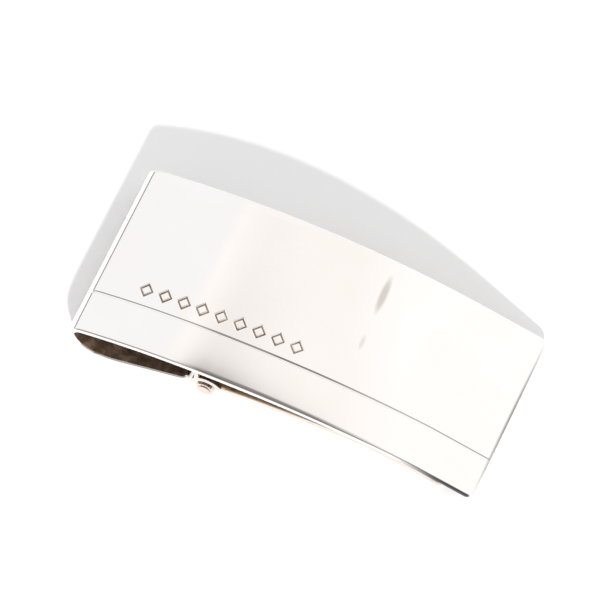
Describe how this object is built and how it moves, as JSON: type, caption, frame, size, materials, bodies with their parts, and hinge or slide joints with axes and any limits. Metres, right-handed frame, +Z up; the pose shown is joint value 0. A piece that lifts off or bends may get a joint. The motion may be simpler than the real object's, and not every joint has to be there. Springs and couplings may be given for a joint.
{
  "type": "money clip",
  "caption": "Hinged snap money clip: arched front plate folded round a tight bend into a short back leaf, with a hinged spring-shut arm that presses the notes against the plate.",
  "frame": {"origin": "under the middle of the clip's length and width, on the table it lies on", "axes": "+X along the clip from the bend to the open end, +Y across it away from the engraved line, +Z up through the front plate"},
  "size_m": [0.0508, 0.0228, 0.0073],
  "materials": {
    "polished_silver": "sterling silver sheet, mirror polished with fine wear",
    "arm_silver": "sterling silver sheet, polished, lightly tarnished inside",
    "hinge_silver": "sterling silver tube and strip, polished after soldering",
    "pin_silver": "silver wire, ends peened and filed smooth"
  },
  "bodies": {
    "clip": {"clip_body": "polished_silver", "centre_tube": "hinge_silver"},
    "arm": {"clip_arm": "arm_silver", "near_tube": "hinge_silver", "far_tube": "hinge_silver", "hinge_pin": "pin_silver", "near_snap_cam": "hinge_silver", "far_snap_cam": "hinge_silver"}
  },
  "joints": [
    {"name": "arm_hinge", "type": "hinge", "parent": "clip", "child": "arm", "pos_m": [-0.0082, 0, 0.00233], "axis": [0, 1, 0], "range_deg": [0, 95], "stiffness_Nm_per_rad": 0.03, "springref_deg": -28.65}
  ]
}
